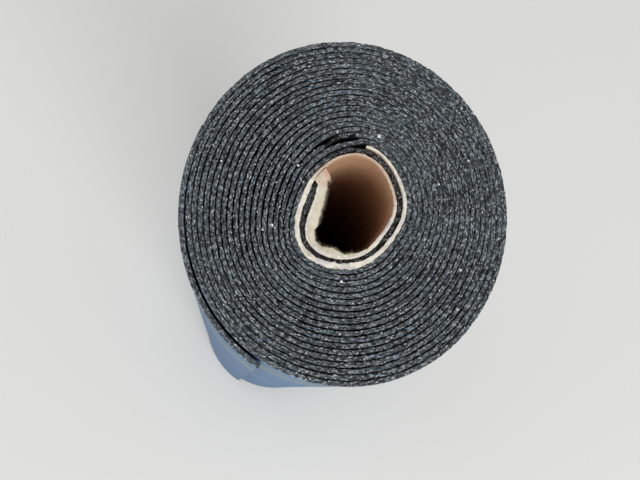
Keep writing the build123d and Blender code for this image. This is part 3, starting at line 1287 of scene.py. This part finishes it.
@dataclass
class Grit:
    """Small hard bits on the upper end: sand grains in the cut edge, and a few pale crumbs lying on it."""

    winding: Winding
    edge: FeltEdge = FeltEdge()
    corner_pull: Span = (0.65, 1.2)
    dark_power: float = 2.8
    grain_finish: Mineral = Mineral("sand_grains", (34, 37, 41), (220, 223, 220))
    grain_count: int = 15000
    grain_size: Span = (0.00024, 0.00058)
    grain_stretch: Span = (0.1, 1.9)
    grain_margin: float = 0.0005
    grain_sink: Span = (-0.2, 0.5)
    grain_pace: float = 0.002
    bare_end: float = 4.0
    crumb_finish: Mineral = Mineral("pale_crumbs", (218, 221, 222), (246, 247, 246))
    crumb_count: int = 26
    crumb_size: Span = (0.0006, 0.0012)
    crumbs_from: float = 900.0
    crumb_margin: float = 200.0
    crumb_lift: float = 0.0045
    crumb_depth: float = 0.0002
    crumb_sink: float = 0.3
    # x, y and size of each large crumb
    large_crumbs: tuple[Place, ...] = (
        (0.0247, 0.0534, 0.0017), (-0.0514, -0.0120, 0.0018),
        (-0.0033, -0.0507, 0.0014), (-0.033, 0.031, 0.0012))

    def lumps(self, centres: Array, sizes: Array, seed: int, drawn_out: Array | None = None) -> Shell:
        """Many small stones in one mesh: octahedra turned at random, with each corner pulled in or out.

        Args:
            centres: middle of each stone.
            sizes: radius of each stone.
            seed: for the turns and corners.
            drawn_out: for each stone the direction it is drawn out in, as long as the share that it grows by.

        Returns:
            The stones, each with a tint of its own, mostly dark.
        """
        rng = np.random.default_rng(seed)
        corners = np.array([[1, 0, 0], [0, 1, 0], [-1, 0, 0], [0, -1, 0], [0, 0, 1], [0, 0, -1]], float)
        faces = np.array([[0, 1, 4], [1, 2, 4], [2, 3, 4], [3, 0, 4],
                          [1, 0, 5], [2, 1, 5], [3, 2, 5], [0, 3, 5]])
        count = len(centres)
        frames = np.linalg.qr(rng.normal(size=(count, 3, 3)))[0]
        frames[np.linalg.det(frames) < 0, :, 0] *= -1
        shape = corners[None] * rng.uniform(*self.corner_pull, (count, 6, 1)) * sizes[:, None, None]
        offsets = np.einsum("nij,nkj->nki", frames, shape)
        if drawn_out is not None:
            reach = np.linalg.norm(drawn_out, axis=1)[:, None, None]
            way = drawn_out[:, None] / reach
            offsets = offsets + reach * (offsets * way).sum(-1, keepdims=True) * way
        return copies(centres[:, None] + offsets, faces, rng.random(count) ** self.dark_power)

    def build_grains(self) -> Piece:
        """Makes the sand grains, set into the felt's cut edge along its length and drawn out along the turns.

        Returns:
            The piece, all grains joined.
        """
        rng = np.random.default_rng(Seed.GRAINS)
        winding, count, thickness = self.winding, self.grain_count, self.winding.felt_thickness
        middle = winding.felt_seat + thickness / 2
        walk = winding.paced(winding.felt_start, winding.felt_end - self.bare_end, self.grain_pace, middle)
        along = rng.uniform(0, walk.along[-1], count)
        angle = np.interp(along, walk.along, walk.angle)
        lift = winding.felt_lift(angle) + rng.uniform(self.grain_margin, thickness - self.grain_margin, count)
        size = rng.uniform(*self.grain_size, count)
        drop = self.edge.drop(RollEnd.UPPER, Walk(angle, along), lift[:, None])[:, 0]
        height = ROLL_HEIGHT - drop - rng.uniform(*self.grain_sink, count) * size
        centres = winding.places(angle, lift, height)
        ahead = winding.places(angle + 0.5, lift, height) - centres
        drawn_out = ahead / np.linalg.norm(ahead, axis=1, keepdims=True)
        drawn_out = drawn_out * rng.uniform(*self.grain_stretch, (count, 1))
        lumps = self.lumps(centres, size, Seed.GRAIN_SHAPES, drawn_out)
        return lumps.piece("sand_grains", [self.grain_finish.material()], "wound_felt", crease=20)

    def build_crumbs(self) -> Piece:
        """Makes the pale crumbs that lie loose on the upper end.

        Returns:
            The piece, all crumbs joined.
        """
        rng = np.random.default_rng(Seed.CRUMBS)
        last = self.winding.felt_end - self.crumb_margin
        angle = rng.uniform(self.crumbs_from, last, self.crumb_count)
        small = self.winding.places(angle, self.crumb_lift, rng.uniform(*self.crumb_size, len(angle)))
        bits = np.concatenate([np.array(self.large_crumbs), small])
        height = ROLL_HEIGHT - self.crumb_depth - bits[:, 2] * self.crumb_sink
        lumps = self.lumps(np.column_stack([bits[:, :2], height]), bits[:, 2], Seed.CRUMB_SHAPES)
        return lumps.piece("pale_crumbs", [self.crumb_finish.material()], "wound_felt", crease=20)

    def build(self) -> list[Piece]:
        """Makes the grains and the crumbs."""
        return [self.build_grains(), self.build_crumbs()]


@dataclass(frozen=True)
class SoftLamp:
    """A large square lamp that looks at the roll."""

    name: str
    place: Place
    size: float
    power: float

    def build(self, target: Vector) -> None:
        """Hangs the lamp and turns it to the target.

        Args:
            target: the point that it looks at.
        """
        lamp = bpy.data.lights.new(self.name, "AREA")
        lamp.size = self.size
        lamp.energy = self.power
        obj = put_in_scene(self.name, lamp)
        obj.location = self.place
        obj.rotation_euler = (target - Vector(self.place)).to_track_quat("-Z", "Y").to_euler()


@dataclass
class Studio:
    """Plain pale floor, soft light and the camera."""

    floor_colour: Colour = (228, 228, 225)
    backdrop: Colour = (232, 233, 234)
    sky_strength: float = 0.64
    floor_radius: float = 18.0
    floor_sides: int = 96
    floor_roughness: float = 0.9
    floor_specular: float = 0.2
    fade: Span = (1.2, 5.0)
    lamps: tuple[SoftLamp, ...] = (
        SoftLamp("key_lamp", (0.7, -2.4, 3.0), 1.8, 60),
        SoftLamp("fill_lamp", (-2.2, 0.9, 2.6), 2.6, 12),
    )
    lamp_target: Place = (0.0, 0.0, 0.8)
    camera_place: Place = (-0.0815, -0.1230, 1.6324)
    camera_target: Place = (-0.018, -0.022, 1.0)
    camera_up: Place = (-0.0090, 0.9923, 0.1237)
    lens: float = 52.3
    nearest: float = 0.01

    def build_floor(self) -> None:
        """Lays a round floor, which holds the shadow near the roll and fades into the backdrop farther out.

        The paint is mixed with the backdrop's own colour by the distance from the roll, for the camera and in
        reflections only, so the light in the room stays as it is.
        """
        mesh = bpy.data.meshes.new("floor")
        turn = np.linspace(0, 2 * math.pi, self.floor_sides, endpoint=False)
        rim = np.stack([np.cos(turn), np.sin(turn), np.zeros_like(turn)], axis=1) * self.floor_radius
        mesh.from_pydata(rim.tolist(), [], [list(range(self.floor_sides))])
        bench = Bench("floor_paint")
        bench.feed(bench.shader, {"Base Color": linear(self.floor_colour), "Roughness": self.floor_roughness,
                                  "Specular IOR Level": self.floor_specular})
        distance = bench.node("ShaderNodeVectorMath", {0: bench.place}, operation="LENGTH").outputs["Value"]
        path = bench.node("ShaderNodeLightPath").outputs
        seen = bench.reckon("MAXIMUM", path["Is Camera Ray"], path["Is Glossy Ray"])
        share = bench.reckon("MULTIPLY", bench.spread(distance, *self.fade), seen)
        glow = bench.node("ShaderNodeEmission", {"Color": linear(self.backdrop)}).outputs["Emission"]
        mix = bench.node("ShaderNodeMixShader", {"Fac": share, 1: bench.shader.outputs["BSDF"], 2: glow})
        bench.feed(bench.tree.nodes["Material Output"], {"Surface": mix.outputs["Shader"]})
        mesh.materials.append(bench.material)
        put_in_scene("floor", mesh)

    def build_sky(self) -> None:
        """Lights the room evenly, and shows a pale backdrop to the camera."""
        world = bpy.data.worlds.new("pale_room")
        world.use_nodes = True
        nodes, links = world.node_tree.nodes, world.node_tree.links
        light, shown = nodes["Background"], nodes.new("ShaderNodeBackground")
        light.inputs["Color"].default_value = (1, 1, 1, 1)
        light.inputs["Strength"].default_value = self.sky_strength
        shown.inputs["Color"].default_value = linear(self.backdrop)
        path, mix = nodes.new("ShaderNodeLightPath"), nodes.new("ShaderNodeMixShader")
        links.new(path.outputs["Is Camera Ray"], mix.inputs["Fac"])
        links.new(light.outputs["Background"], mix.inputs[1])
        links.new(shown.outputs["Background"], mix.inputs[2])
        links.new(mix.outputs["Shader"], nodes["World Output"].inputs["Surface"])
        bpy.context.scene.world = world

    def build_camera(self) -> None:
        """Sets the camera up over the roll, a little to the lower left, as the photograph was taken."""
        camera = bpy.data.cameras.new("camera")
        camera.lens = self.lens
        camera.clip_start = self.nearest
        place, target = Vector(self.camera_place), Vector(self.camera_target)
        back = (place - target).normalized()
        right = Vector(self.camera_up).cross(back).normalized()
        up = back.cross(right)
        obj = put_in_scene("camera", camera)
        obj.matrix_world = Matrix.Translation(place) @ Matrix((right, up, back)).transposed().to_4x4()
        bpy.context.scene.camera = obj

    def build(self) -> None:
        """Puts up floor, sky, lamps and camera."""
        self.build_floor()
        self.build_sky()
        for lamp in self.lamps:
            lamp.build(Vector(self.lamp_target))
        self.build_camera()
        bpy.context.scene.view_settings.view_transform = "Standard"


def main() -> None:
    """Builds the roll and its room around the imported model."""
    logging.basicConfig(level=logging.INFO, format="%(name)s: %(message)s")
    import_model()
    winding = Winding()
    for part in (WoundFelt(winding), CardCore(winding), Grit(winding)):
        for piece in part.build():
            triangles = sum(len(face.vertices) - 2 for face in piece.data.polygons)
            log.info("%s: %d triangles", piece.name, triangles)
    Studio().build()


if __name__ == "__main__":
    main()
